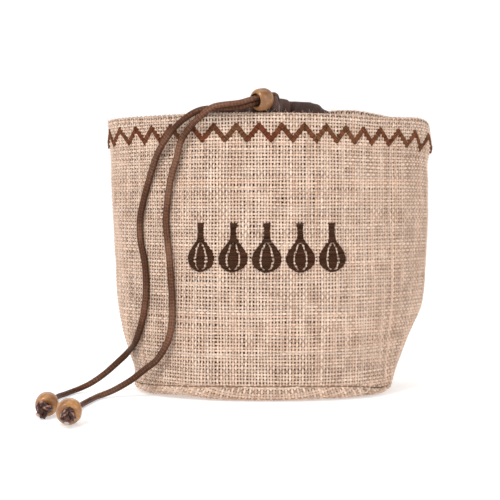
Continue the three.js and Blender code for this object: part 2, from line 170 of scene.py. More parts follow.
# Collar: along, inward, rise, pleat and thickness, then the height of its lip by angle
COLLAR_ROWS = (
    (0.0, 0.0, 0.0, 0.0, 0.5),
    (0.06, 0.04, 0.01, 0.06, 0.5),
    (0.26, 0.3, 0.09, 0.6, 0.5),
    (0.45, 0.56, 0.2, 0.9, 0.5),
    (0.62, 0.8, 0.36, 1.0, 0.5),
    (0.74, 0.95, 0.52, 0.9, 0.9),
    (0.8, 0.99, 0.62, 0.7, 1.6),
    (0.88, 1.0, 0.8, 0.75, 3.2),
    (0.95, 1.0, 0.94, 0.75, 2.8),
    (1.0, 0.99, 1.0, 0.7, 0.8),
)
COLLAR_TOPS = (
    (0, 151.5), (30, 154.5), (60, 157), (90, 157.5), (120, 157), (150, 156), (180, 156), (225, 156.5),
    (250, 158), (258, 159.2), (263, 160.8), (267, 161.4), (269.7, 160.7), (271.3, 157.4), (273.2, 160.3),
    (278, 159.7), (282, 159.2), (302, 158.9), (308.5, 158.1), (314, 156.7), (323, 154.2), (331, 151.8), (345, 151.5),
)
COLLAR_PLEATS = 32
COLLAR_PLEAT_DEPTH = 3.1
COLLAR_EXIT = (268, 7, 9.5)

# Lower tips of the zigzag across the front, in lengths round the bag from its middle
ZIGZAG_TIPS = (
    -104.5, -88.0, -75.8, -64.4, -50.4, -37.0, -24.6, -12.7, -0.1, 11.3, 24.2, 35.9, 47.0, 58.1, 70.0,
    83.4, 97.4, 115.0,
)
# How far it runs low towards the right corner: length round the bag, dip
ZIGZAG_DIPS = ((30, 0), (45, 0.5), (62, 0.4), (77, 1.1), (88, 1.4), (97, 2.8), (106, 2), (116, 1), (130, 0))

# Bulb motif, right half of each line with its stroke width
MOTIF_COUNT = 5
MOTIF_PITCH = 17.8
MOTIF_MIDDLE = -2.4
MOTIF_FOOT = 69.0
# Half widths of the bulb and of its middle clove at heights above its foot
BULB_HALVES = (
    (0, 1), (0.8, 3), (2.2, 5.6), (4.6, 7.5), (7.5, 8), (10.5, 7), (13.3, 5), (15.6, 3.1), (18, 1.9),
    (22, 1.5), (26, 2.2),
)
CLOVE_HALVES = ((1.2, 0.6), (3, 2.2), (6, 3), (9, 2.7), (12, 1.8), (14.5, 0.8), (15.5, 0))
CLOVE_GAP = 0.9


# Camera, at the photograph's distance and angle
def make_camera():
    data = bpy.data.cameras.new("camera")
    data.sensor_width = 36
    data.lens = 88.4
    data.clip_start = 0.01
    data.clip_end = 20
    camera = bpy.data.objects.new("camera", data)
    bpy.context.collection.objects.link(camera)
    camera.location = (-0.0111, -0.7, 0.105)
    camera.rotation_euler = (math.radians(90 - 2.16), 0, 0)
    bpy.context.scene.camera = camera


make_camera()


# Numbers and shapes
def smooth_noise(u, v, seed):
    """Smooth noise from -1 to 1 at grid coordinates u and v, one cell to a unit."""
    u = np.asarray(u, float)
    v = np.asarray(v, float)
    table = np.random.default_rng(seed).uniform(-1, 1, (64, 64))
    iu, iv = np.floor(u).astype(int), np.floor(v).astype(int)
    fu, fv = u - iu, v - iv
    fu, fv = fu * fu * (3 - 2 * fu), fv * fv * (3 - 2 * fv)
    a, b = table[iu % 64, iv % 64], table[(iu + 1) % 64, iv % 64]
    c, d = table[iu % 64, (iv + 1) % 64], table[(iu + 1) % 64, (iv + 1) % 64]
    return (a * (1 - fu) + b * fu) * (1 - fv) + (c * (1 - fu) + d * fu) * fv


def bump(angle, middle, width):
    away = np.abs((angle - middle + 540) % 360 - 180) / width
    return np.exp(-away * away)


def table_column(rows, column, share):
    """A column of a table at shares of its first column, on a smooth curve through its rows."""
    rows = np.array(rows)
    key, value = rows[:, 0], rows[:, column]
    slope = np.empty(len(key))
    slope[1:-1] = (value[2:] - value[:-2]) / (key[2:] - key[:-2])
    slope[0] = (value[1] - value[0]) / (key[1] - key[0])
    slope[-1] = (value[-1] - value[-2]) / (key[-1] - key[-2])
    i = np.clip(np.searchsorted(key, share, side="left") - 1, 0, len(key) - 2)
    span = key[i + 1] - key[i]
    t = np.clip((share - key[i]) / span, 0, 1)
    curve = t * t * (3 - 2 * t)
    bend = slope[i] * t * (1 - t) ** 2 - slope[i + 1] * t * t * (1 - t)
    return value[i] * (1 - curve) + value[i + 1] * curve + span * bend


def wave_at(waves, angle):
    return sum(rise * bump(angle, middle, width) for middle, width, rise in waves)


def fold_at(angle, share):
    out = np.zeros(np.broadcast(angle, share).shape)
    for middle, width, amount, low, high in FOLDS:
        t = (share - low) / (high - low)
        if high == 1:
            fade = np.sin(np.clip(t * 1.5, 0, 1) * math.pi / 2)
        else:
            fade = np.sin(np.clip(t, 0, 1) * math.pi)
        out = out + amount * RIM_DEPTH * fade * bump(angle, middle, width)
    return out


def wall_point(angle, height, inset):
    """Points of the wall at angles in degrees and heights, inset from its outer face."""
    angle, height, inset = np.broadcast_arrays(
        np.asarray(angle, float), np.asarray(height, float), np.asarray(inset, float)
    )
    share = height / RIM_HEIGHT
    column = {name: table_column(SECTIONS, i, share) for i, name in enumerate(SECTION_COLUMNS) if i}
    c, s = np.cos(np.radians(angle)), np.sin(np.radians(angle))
    power = 2 / column["corner"]
    half_x = RIM_WIDTH / 2 * np.where(c > 0, column["right"], column["left"]) - inset
    half_y = RIM_DEPTH / 2 * np.where(s > 0, column["back"], column["front"]) - inset
    x = half_x * np.sign(c) * np.abs(c) ** power
    y = half_y * np.sign(s) * np.abs(s) ** power
    length = np.hypot(x, y)
    grow = (length + fold_at(angle, share)) / length
    z = height + wave_at(RIM_WAVES, angle) * HEM_DEPTH * np.clip(share, 0, None) ** 4
    return np.stack([x * grow, y * grow, z], axis=-1)


def seam_height(angle):
    s = np.sin(np.radians(angle))
    sewn = SEAM_SIDE + (np.where(s > 0, SEAM_BACK, SEAM_FRONT) - SEAM_SIDE) * s * s
    return sewn + wave_at(SEAM_WAVES, angle)


def unit(vectors):
    return vectors / np.maximum(np.linalg.norm(vectors, axis=-1, keepdims=True), 1e-9)


def route_points(points, step):
    """Points and tangents every step along a smooth curve through a route, and its length."""
    p = np.array(points, float)
    p = np.vstack([2 * p[0] - p[1], p, 2 * p[-1] - p[-2]])
    t = np.linspace(0, 1, 24, endpoint=False)[:, None]
    fine = []
    for a, b, c, d in zip(p[:-3], p[1:-2], p[2:-1], p[3:]):
        ab, bc, cd = (math.sqrt(np.linalg.norm(end - start)) for start, end in ((a, b), (b, c), (c, d)))
        way_b = bc * ((b - a) / ab - (c - a) / (ab + bc) + (c - b) / bc)
        way_c = bc * ((c - b) / bc - (d - b) / (bc + cd) + (d - c) / cd)
        square = -3 * b + 3 * c - 2 * way_b - way_c
        cube = 2 * b - 2 * c + way_b + way_c
        fine.append(b + way_b * t + square * t**2 + cube * t**3)
    fine = np.vstack([*fine, p[-2]])
    along = np.concatenate([[0], np.cumsum(np.linalg.norm(np.diff(fine, axis=0), axis=1))])
    places = np.linspace(0, along[-1], max(2, round(along[-1] / step) + 1))
    centres = np.stack([np.interp(places, along, fine[:, i]) for i in range(3)], axis=-1)
    return centres, unit(np.gradient(centres, axis=0)), along[-1]


def turned_frames(tangents, first):
    """A pair of directions square to each tangent, carried along without twist."""
    sides = []
    side = np.array(first, float)
    for tangent in tangents:
        side = side - tangent * (side @ tangent)
        side = side / np.linalg.norm(side)
        sides.append(side)
    sides = np.array(sides)
    return sides, np.cross(tangents, sides)


# Meshes
def mesh_object(name, vertices, faces, material, floats=None, smooth=True):
    """A mesh from arrays in millimetres. faces is a list of arrays, each of polygons with as many
    corners, and floats holds a value for each vertex by name."""
    mesh = bpy.data.meshes.new(name)
    vertices = np.asarray(vertices, float).reshape(-1, 3)
    corners = np.concatenate([f.reshape(-1) for f in faces])
    sizes = np.concatenate([np.full(len(f), f.shape[1]) for f in faces])
    starts = np.concatenate([[0], np.cumsum(sizes)[:-1]])
    mesh.vertices.add(len(vertices))
    mesh.vertices.foreach_set("co", (vertices * MM).astype(np.float32).reshape(-1))
    mesh.loops.add(len(corners))
    mesh.loops.foreach_set("vertex_index", corners.astype(np.int32))
    mesh.polygons.add(len(starts))
    mesh.polygons.foreach_set("loop_start", starts.astype(np.int32))
    mesh.update(calc_edges=True)
    mesh.polygons.foreach_set("use_smooth", np.full(len(starts), smooth))
    for key, values in (floats or {}).items():
        layer = mesh.attributes.new(key, "FLOAT", "POINT")
        layer.data.foreach_set("value", np.asarray(values, np.float32).reshape(-1))
    mesh.materials.append(material)
    mesh.validate()
    obj = bpy.data.objects.new(name, mesh)
    bpy.context.collection.objects.link(obj)
    return obj


def strand_rings(centres, across, up, half_width, half_height, sides):
    """Rings of points round threads: centres, across and up are (..., 3), the halves (...)."""
    turns = 2 * math.pi * (np.arange(sides) + 0.5) / sides
    c = np.cos(turns)[:, None] * half_width[..., None, None]
    s = np.sin(turns)[:, None] * half_height[..., None, None]
    return centres[..., None, :] + c * across[..., None, :] + s * up[..., None, :]


def strand_mesh(name, rings, valid, tone, hue, material):
    """Threads as tubes with closed ends. rings is (threads, points, sides, 3), and valid says
    which points each thread has."""
    threads, points, sides, _ = rings.shape
    index = np.arange(threads * points * sides).reshape(threads, points, sides)
    both = valid[:, :-1] & valid[:, 1:]
    a, b = index[:, :-1][both], index[:, 1:][both]
    walls = np.stack([a, np.roll(a, -1, 1), np.roll(b, -1, 1), b], axis=-1).reshape(-1, 4)
    padded = np.pad(valid, ((0, 0), (1, 1)))
    starts = index[valid & ~padded[:, :-2] & padded[:, 2:]][:, ::-1]
    ends = index[valid & padded[:, :-2] & ~padded[:, 2:]]
    used, corners = np.unique(
        np.concatenate([walls.reshape(-1), starts.reshape(-1), ends.reshape(-1)]), return_inverse=True
    )
    walls = corners[: walls.size].reshape(-1, 4)
    lids = corners[walls.size :].reshape(-1, sides)
    # Painted light and shade: each thread's tone is lighter on its outward side and darker on its inner side.
    painted_crown_light = CROWN_PAINTED_LIGHT * np.sin(2 * math.pi * (np.arange(sides) + 0.5) / sides)
    floats = {
        key: np.broadcast_to(values[..., None] + extra, index.shape).reshape(-1)[used]
        for key, values, extra in (("tone", tone, painted_crown_light), ("hue", hue, 0))
    }
    return mesh_object(name, rings.reshape(-1, 3)[used], [walls, lids], material, floats)


def tube_mesh(name, rings, material, floats=None):
    """One tube with closed ends from rings of points, (points, sides, 3)."""
    points, sides, _ = rings.shape
    index = np.arange(points * sides).reshape(points, sides)
    faces = [loft_faces(points, sides, False, True), index[:1, ::-1], index[-1:]]
    return mesh_object(name, rings, faces, material, floats)


def shell_mesh(name, outer, inner, material, floats=None):
    """A closed shell between two grids of rows by columns that run round."""
    grid = np.concatenate([outer, inner[::-1]])
    return mesh_object(name, grid, [loft_faces(len(grid), grid.shape[1], True, True)], material, floats)


def dress(piece, slot, *nodes):
    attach(piece, "root")
    if nodes:
        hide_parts(*nodes)


def loft_faces(rows, columns, close_rows, close_columns):
    """Quads of a grid of rows by columns."""
    index = np.arange(rows * columns).reshape(rows, columns)
    if close_rows:
        index = np.vstack([index, index[:1]])
    if close_columns:
        index = np.hstack([index, index[:, :1]])
    return np.stack([index[:-1, :-1], index[:-1, 1:], index[1:, 1:], index[1:, :-1]], -1).reshape(-1, 4)


# Materials
def new_material(name):
    material = bpy.data.materials.new(name)
    material.use_nodes = True
    nodes, links = material.node_tree.nodes, material.node_tree.links
    return material, nodes, links, nodes["Principled BSDF"]


def ramp_node(nodes, stops):
    ramp = nodes.new("ShaderNodeValToRGB")
    elements = ramp.color_ramp.elements
    while len(elements) < len(stops):
        elements.new(0.5)
    for element, (at, colour) in zip(elements, stops):
        element.position = at
        element.color = (*colour, 1)
    return ramp


def thread_material(name, stops, tint, roughness, fibre_scale, bump_depth, sheen, specular):
    """Spun thread: a tone for each thread, fine fibres along it and a tint on some of them."""
    material, nodes, links, shader = new_material(name)
    shader.inputs["Roughness"].default_value = roughness
    shader.inputs["Specular IOR Level"].default_value = specular
    shader.inputs["Sheen Weight"].default_value = sheen
    shader.inputs["Sheen Roughness"].default_value = 0.6
    tone = nodes.new("ShaderNodeAttribute")
    tone.attribute_name = "tone"
    hue = nodes.new("ShaderNodeAttribute")
    hue.attribute_name = "hue"
    place = nodes.new("ShaderNodeTexCoord")
    fibres = nodes.new("ShaderNodeTexNoise")
    fibres.inputs["Scale"].default_value = fibre_scale
    fibres.inputs["Detail"].default_value = 3
    links.new(place.outputs["Object"], fibres.inputs["Vector"])
    mixed = nodes.new("ShaderNodeMath")
    mixed.operation = "MULTIPLY_ADD"
    mixed.inputs[1].default_value = 0.5
    links.new(fibres.outputs["Fac"], mixed.inputs[0])
    links.new(tone.outputs["Fac"], mixed.inputs[2])
    ramp = ramp_node(nodes, stops)
    links.new(mixed.outputs[0], ramp.inputs["Fac"])
    tinted = nodes.new("ShaderNodeMix")
    tinted.data_type = "RGBA"
    tinted.blend_type = "MULTIPLY"
    tinted.inputs["B"].default_value = (*tint, 1)
    links.new(hue.outputs["Fac"], tinted.inputs["Factor"])
    links.new(ramp.outputs["Color"], tinted.inputs["A"])
    links.new(tinted.outputs["Result"], shader.inputs["Base Color"])
    relief = nodes.new("ShaderNodeBump")
    relief.inputs["Strength"].default_value = 0.6
    relief.inputs["Distance"].default_value = bump_depth
    links.new(fibres.outputs["Fac"], relief.inputs["Height"])
    links.new(relief.outputs["Normal"], shader.inputs["Normal"])
    return material


def cloth_material(name, dark, light, scale, roughness):
    """Fine plain cloth: a small weave of two crossed waves, with soft blotches."""
    material, nodes, links, shader = new_material(name)
    shader.inputs["Roughness"].default_value = roughness
    shader.inputs["Sheen Weight"].default_value = 0.2
    shader.inputs["Sheen Roughness"].default_value = 0.4
    place = nodes.new("ShaderNodeTexCoord")
    cloud = nodes.new("ShaderNodeTexNoise")
    cloud.inputs["Scale"].default_value = 120
    cloud.inputs["Detail"].default_value = 6
    links.new(place.outputs["Object"], cloud.inputs["Vector"])
    weave = nodes.new("ShaderNodeTexVoronoi")
    weave.distance = "CHEBYCHEV"
    weave.inputs["Scale"].default_value = scale
    weave.inputs["Randomness"].default_value = 0.25
    links.new(place.outputs["Object"], weave.inputs["Vector"])
    ramp = ramp_node(nodes, ((0.3, dark), (0.75, light)))
    links.new(cloud.outputs["Fac"], ramp.inputs["Fac"])
    links.new(ramp.outputs["Color"], shader.inputs["Base Color"])
    relief = nodes.new("ShaderNodeBump")
    relief.inputs["Strength"].default_value = 0.5
    relief.inputs["Distance"].default_value = 0.0002
    links.new(weave.outputs["Distance"], relief.inputs["Height"])
    links.new(relief.outputs["Normal"], shader.inputs["Normal"])
    return material


JUTE = thread_material(
    "jute_thread",
    ((0.15, (0.118, 0.062, 0.035)), (0.52, (0.45, 0.310, 0.230)), (0.9, (0.84, 0.665, 0.545))),
    (1.0, 0.90, 0.82),
    0.9,
    1600,
    0.0002,
    0.08,
    0.2,
)
STITCH = thread_material(
    "embroidery_thread",
    ((0.3, (0.034, 0.015, 0.006)), (0.6, (0.082, 0.035, 0.014)), (0.95, (0.21, 0.083, 0.036))),
    (1.0, 0.6, 0.55),
    0.5,
    2500,
    0.0001,
    0.0,
    0.12,
)
MOTIF = thread_material(
    "motif_thread",
    ((0.2, (0.018, 0.007, 0.003)), (0.6, (0.036, 0.014, 0.006)), (1.0, (0.08, 0.036, 0.02))),
    (1.0, 0.85, 0.8),
    0.5,
    2500,
    0.0001,
    0.0,
    0.08,
)
CORD_THREAD = thread_material(
    "cord_thread",
    ((0.1, (0.020, 0.008, 0.004)), (0.55, (0.074, 0.031, 0.015)), (1.0, (0.24, 0.135, 0.09))),
    (1.0, 0.78, 0.70),
    0.45,
    900,
    0.0002,
    0.0,
    0.12,
)
KNOT_THREAD = thread_material(
    "knot_thread",
    ((0.1, (0.018, 0.007, 0.005)), (0.6, (0.075, 0.033, 0.023)), (1.0, (0.50, 0.36, 0.30))),
    (1.0, 0.75, 0.75),
    0.3,
    900,
    0.0003,
    0.0,
    0.2,
)
# Cloth of the base seam, coloured dark as a painted shadow of the seam's groove
SEAM_SHADOW_CLOTH = cloth_material("seam_shadow_cloth", (0.15, 0.084, 0.046), (0.30, 0.18, 0.105), 2600, 0.9)
LINING_CLOTH = cloth_material("lining_cloth", (0.036, 0.015, 0.010), (0.100, 0.046, 0.034), 2600, 0.8)


def wood_material(name, depth):
    """Turned wood under clear lacquer: soft stretched clouds with fine grain."""
    material, nodes, links, shader = new_material(name)
    shader.inputs["Roughness"].default_value = 0.38
    shader.inputs["Coat Weight"].default_value = 0.45
    shader.inputs["Coat Roughness"].default_value = 0.12
    place = nodes.new("ShaderNodeTexCoord")
    stretch = nodes.new("ShaderNodeMapping")
    stretch.inputs["Scale"].default_value = (1.0, 0.3, 1.0)
    stretch.inputs["Rotation"].default_value = (0.2, 0.1, 0.5)
    links.new(place.outputs["Object"], stretch.inputs["Vector"])
    cloud = nodes.new("ShaderNodeTexNoise")
    cloud.inputs["Scale"].default_value = 170
    cloud.inputs["Detail"].default_value = 3
    links.new(stretch.outputs["Vector"], cloud.inputs["Vector"])
    grain = nodes.new("ShaderNodeTexNoise")
    grain.inputs["Scale"].default_value = 1400
    grain.inputs["Detail"].default_value = 4
    links.new(stretch.outputs["Vector"], grain.inputs["Vector"])
    mixed = nodes.new("ShaderNodeMath")
    mixed.operation = "MULTIPLY_ADD"
    mixed.inputs[1].default_value = 0.35
    links.new(grain.outputs["Fac"], mixed.inputs[0])
    links.new(cloud.outputs["Fac"], mixed.inputs[2])
    stops = ((0.45, (0.20, 0.078, 0.020)), (0.66, (0.31, 0.124, 0.030)), (0.9, (0.52, 0.250, 0.078)))
    ramp = ramp_node(nodes, [(at, [part * depth for part in colour]) for at, colour in stops])
    links.new(mixed.outputs[0], ramp.inputs["Fac"])
    links.new(ramp.outputs["Color"], shader.inputs["Base Color"])
    relief = nodes.new("ShaderNodeBump")
    relief.inputs["Strength"].default_value = 0.2
    relief.inputs["Distance"].default_value = 0.0001
    links.new(mixed.outputs[0], relief.inputs["Height"])
    links.new(relief.outputs["Normal"], shader.inputs["Normal"])
    return material


BEAD_WOOD = wood_material("bead_wood", 1.0)
TOGGLE_WOOD = wood_material("toggle_wood", 0.74)


# The woven panels
FOLD_INSET_OUT = WEAVE_INSET
FOLD_INSET_IN = HEM_THICKNESS - WEAVE_INSET
FOLD_RADIUS = (FOLD_INSET_IN - FOLD_INSET_OUT) / 2
FOLD_START = RIM_HEIGHT - WEAVE_INSET - FOLD_RADIUS
HEM_FOOT = RIM_HEIGHT - HEM_DEPTH


def hem_profile(p):
    """Height and inset of the cloth at lengths p along it, over the rim and down inside the hem."""
    turn = np.clip((p - FOLD_START) / FOLD_RADIUS, 0, math.pi)
    height = np.minimum(p, FOLD_START) + FOLD_RADIUS * np.sin(turn)
    height = height - np.maximum(p - FOLD_START - math.pi * FOLD_RADIUS, 0)
    inset = FOLD_INSET_OUT + FOLD_RADIUS * (1 - np.cos(turn))
    return height, inset


def corner_out(angle, height):
    """How far the cloth stands out at its low corners."""
    return sum(
        out * bump(angle, middle, width) * np.exp(-(((height - centre) / reach) ** 2))
        for middle, width, out, centre, reach in CORNER_FULLNESS
    )


def crumple(angle, height):
    """Small soft dents of the cloth, as an inset."""
    dents = 0.45 * smooth_noise(angle / 11, height / 24, 3) + 0.15 * smooth_noise(angle / 4, height / 9, 5)
    fullness = SIDE_FULLNESS * np.clip((135 - height) / 15, 0, 1)
    return 0.3 + dents - fullness * np.cos(np.radians(angle)) ** 2 - corner_out(angle, height)


def weave_panel(name, start_angle):
    """One jute panel as crossed warps and wefts, from a side seam round to the other."""
    low = 5.9
    top = FOLD_START + math.pi * FOLD_RADIUS + (FOLD_START - HEM_FOOT) - 0.4
    rows = int((top - low) / WEFT_PITCH) + 1
    p = low + WEFT_PITCH * np.arange(rows)
    height, inset = hem_profile(p)
    fine = np.linspace(start_angle, start_angle + 180, 1441)
    middle = len(fine) // 2
    spans = int(RIM_WIDTH * 0.75 / WARP_PITCH) + 6
    columns = 2 * spans + 1
    slot = np.arange(columns) - spans
    jitter = smooth_noise(np.arange(columns)[:, None] * 0.9, np.arange(rows)[None] / 14, start_angle + 11)
    s = WARP_PITCH * (slot[:, None] + 0.2 * jitter)
    angle = np.empty((columns, rows))
    ends = np.empty((2, rows))
    for j in range(rows):
        line = wall_point(fine, height[j], 0)
        along = np.concatenate([[0], np.cumsum(np.linalg.norm(np.diff(line, axis=0), axis=1))])
        along -= along[middle]
        ends[:, j] = along[0], along[-1]
        angle[:, j] = np.interp(s[:, j], along, fine)
    margin = 0.6 * WARP_PITCH
    inside = (s > ends[0] + margin) & (s < ends[1] - margin)
    # Past the last warp a weft goes straight to the side seam.
    angle = np.where(inside, angle, np.where(s < 0, start_angle, start_angle + 180))
    sag = 0.25 * WEFT_PITCH * smooth_noise(np.arange(columns)[:, None] / 16, np.arange(rows)[None] * 0.9, start_angle + 12)
    pp = p[None] + sag
    hh = hem_profile(pp)[0]
    above = (pp > FOLD_START) | (hh > seam_height(angle) + 0.7)
    # The lowest point of each warp is drawn to the base seam.
    pp = np.maximum(pp, seam_height(angle) + 0.2)
    hh = hem_profile(pp)[0]
    to_seam = np.minimum(s - ends[0], ends[1] - s)
    outer = np.clip((FOLD_START - pp) / 4, 0, 1)
    tuck = SEAM_TUCK * np.exp(-((np.clip(to_seam, 0, None) / 1.4) ** 2))
    tuck = tuck + outer * SEAM_TUCK * np.exp(-(((hh - seam_height(angle)) / 1.3) ** 2))
    dents = crumple(angle, hh) * outer

    def surface(at, q):
        h, i = hem_profile(q)
        return wall_point(at, h, i + tuck + dents)

    centre = surface(angle, pp)
    across = unit(surface(angle + 0.1, pp) - surface(angle - 0.1, pp))
    upward = unit(surface(angle, pp + 0.2) - surface(angle, pp - 0.2))
    out = unit(np.cross(across, upward))
    parity = 1 - 2 * ((slot[:, None] + np.arange(rows)[None]) % 2)
    # Painted shade: a thread's tone is lighter where it lies on top at a crossing and darker where it passes under.
    painted_crossing_shade = 0.08 * parity
    warp_valid = inside & (above | np.roll(above, -1, 1))
    warp_valid[:, -1] = inside[:, -1]
    held = inside & above
    # Each weft also has a point on the seam at both ends.
    weft_valid = held | (np.roll(held, -1, 0) & (s < 0)) | (np.roll(held, 1, 0) & (s > 0))
    local = np.random.default_rng(start_angle + 21)
    across_slots, up_rows = np.arange(columns)[:, None], np.arange(rows)[None]
    warp_tone = 0.27 + local.normal(0, 0.045, (columns, 1)) + 0.16 * smooth_noise(across_slots + 0.5, up_rows / 4, 31)
    weft_tone = 0.27 + local.normal(0, 0.055, (1, rows)) + 0.16 * smooth_noise(across_slots / 4, up_rows + 0.5, 32)
    warp_hue = np.broadcast_to(local.uniform(0, 1, (columns, 1)) ** 2, (columns, rows))
    weft_hue = np.broadcast_to(local.uniform(0, 1, (1, rows)) ** 2, (columns, rows))
    slub_a = 1 + 0.19 * smooth_noise(across_slots + 0.5, up_rows / 4, start_angle + 41)
    slub_b = 1 + 0.19 * smooth_noise(across_slots / 5, up_rows + 0.5, start_angle + 42)
    lift = (WEAVE_RISE * parity)[..., None] * out
    warp = strand_rings(
        centre + lift, across, out, THREAD_WIDTH / 2 * slub_a, THREAD_HEIGHT / 2 * slub_a**0.5, THREAD_SIDES
    )
    weft = strand_rings(
        centre - lift, -upward, out, THREAD_WIDTH / 2 * slub_b, THREAD_HEIGHT / 2 * slub_b**0.5, THREAD_SIDES
    )
    pieces = [
        strand_mesh(f"{name}_warp", warp, warp_valid, warp_tone + painted_crossing_shade, warp_hue, JUTE),
        strand_mesh(
            f"{name}_weft",
            weft.transpose(1, 0, 2, 3),
            weft_valid.T,
            (weft_tone - painted_crossing_shade).T,
            weft_hue.T,
            JUTE,
        ),
    ]
    return pieces


for piece in weave_panel("front_jute", 180):
    dress(piece, "jute", "front_panel")
for piece in weave_panel("back_jute", 0):
    dress(piece, "jute", "back_panel")


# The base panel, flat threads that bend up round its edge
def base_edge(angle, turn, inset):
    """The base's turned-up edge, from its seam at turn 0 to the floor at turn 90."""
    c, s = np.cos(np.radians(turn)), np.sin(np.radians(turn))
    climb = seam_height(angle) - GAP / 2
    sides = SIDE_FULLNESS * np.cos(np.radians(angle)) ** 2 * c
    point = wall_point(angle, climb, BASE_ROUND * (1 - c) + inset * c - sides - corner_out(angle, climb))
    point[..., 2] = climb * (1 - s) + inset * s
    return point


EDGE_ANGLES = np.linspace(0, 360, 1441)
EDGE_FEET = base_edge(EDGE_ANGLES, 90, WEAVE_INSET)
EDGE_WAYS = np.unwrap(np.arctan2(EDGE_FEET[:, 1], EDGE_FEET[:, 0]))
EDGE_RADII = np.hypot(EDGE_FEET[:, 0], EDGE_FEET[:, 1])
EDGE_TURNS = np.linspace(90, 0, 25)
EDGE_CLIMB = base_edge(EDGE_ANGLES[:, None], EDGE_TURNS, WEAVE_INSET)
EDGE_STEPS = np.linalg.norm(np.diff(EDGE_CLIMB, axis=1), axis=-1)
EDGE_LENGTHS = np.hstack([np.zeros((len(EDGE_ANGLES), 1)), np.cumsum(EDGE_STEPS, axis=1)])


def foot_lift(angle):
    """How far the base's edge stands off the floor where the cloth puckers."""
    return sum(rise * bump(angle, middle, width) for middle, width, rise in FOOT_LIFTS)


def base_point(u, v):
    """Points of the base's cloth at places of its flat pattern, and how far each is from the seam."""
    way = np.arctan2(v, u) % (2 * math.pi)
    place = np.interp(way, EDGE_WAYS - EDGE_WAYS[0], EDGE_ANGLES)
    past = np.hypot(u, v) - np.interp(way, EDGE_WAYS - EDGE_WAYS[0], EDGE_RADII)
    k = np.clip(np.round(place * 4).astype(int), 0, 1440)
    share = np.zeros_like(past)
    for i in range(len(EDGE_TURNS) - 1):
        low, high = EDGE_LENGTHS[k, i], EDGE_LENGTHS[k, i + 1]
        share += np.clip((past - low) / (high - low), 0, 1)
    turn = 90 - 90 * share / (len(EDGE_TURNS) - 1)
    to_seam = EDGE_LENGTHS[k, -1] - past
    tuck = SEAM_TUCK * np.exp(-((np.clip(to_seam, 0, None) / 1.2) ** 2))
    point = base_edge(place, turn, WEAVE_INSET + tuck)
    flat = np.stack([u, v, np.full_like(u, WEAVE_INSET)], axis=-1)
    point = np.where((past > 0)[..., None], point, flat)
    point[..., 2] += foot_lift(place) * np.exp(np.minimum(past, 0) / 12) * np.clip(to_seam / 6, 0, 1)
    return point, to_seam


def weave_base():
    half_u, half_v = int(88 / WARP_PITCH), int(70 / WEFT_PITCH)
    u = np.arange(-half_u, half_u + 1)[:, None] * WARP_PITCH
    v = np.arange(-half_v, half_v + 1)[None] * WEFT_PITCH
    u, v = np.broadcast_arrays(u, v)
    u = u + 0.25 * smooth_noise(u * 0.9, v / 20, 61)
    v = v + 0.25 * smooth_noise(u / 20, v * 0.9, 62)
    to_seam = base_point(u, v)[1]
    valid = to_seam > 0.25
    # The last point of each thread is drawn back to the seam.
    back = np.clip(0.25 - to_seam, 0, None) * np.hypot(u, v)
    warp_v = np.where(valid, v, v - np.sign(v) * np.clip(back / np.maximum(np.abs(v), 1), 0, WEFT_PITCH))
    weft_u = np.where(valid, u, u - np.sign(u) * np.clip(back / np.maximum(np.abs(u), 1), 0, WARP_PITCH))
    warp_valid = valid | (np.roll(valid, -1, 1) & (v < 0)) | (np.roll(valid, 1, 1) & (v > 0))
    weft_valid = valid | (np.roll(valid, -1, 0) & (u < 0)) | (np.roll(valid, 1, 0) & (u > 0))
    warp_centre, weft_centre = base_point(u, warp_v)[0], base_point(weft_u, v)[0]
    across = unit(base_point(u + 0.2, v)[0] - base_point(u - 0.2, v)[0])
    upward = unit(base_point(u, v + 0.2)[0] - base_point(u, v - 0.2)[0])
    out = -unit(np.cross(across, upward))
    columns, rows = u.shape
    parity = 1 - 2 * ((np.arange(columns)[:, None] + np.arange(rows)[None]) % 2)
    lift = (0.3 * parity)[..., None] * out
    local = np.random.default_rng(63)
    tone_u = np.broadcast_to(0.3 + local.normal(0, 0.11, (columns, 1)), u.shape)
    tone_v = np.broadcast_to(0.3 + local.normal(0, 0.12, (1, rows)), u.shape)
    hue_u = np.broadcast_to(local.uniform(0, 1, (columns, 1)) ** 2, u.shape)
    hue_v = np.broadcast_to(local.uniform(0, 1, (1, rows)) ** 2, u.shape)
    wide, high = np.full(u.shape, THREAD_WIDTH * 0.56), np.full(u.shape, THREAD_HEIGHT / 2)
    warp = strand_rings(warp_centre + lift, across, out, wide, high, THREAD_SIDES)
    weft = strand_rings(weft_centre - lift, upward, out, wide, high, THREAD_SIDES)
    dress(strand_mesh("base_jute_warp", warp, warp_valid, tone_u, hue_u, JUTE), "jute", "base_panel")
    weft = weft.transpose(1, 0, 2, 3)
    dress(strand_mesh("base_jute_weft", weft, weft_valid.T, tone_v.T, hue_v.T, JUTE), "jute", "base_panel")


weave_base()


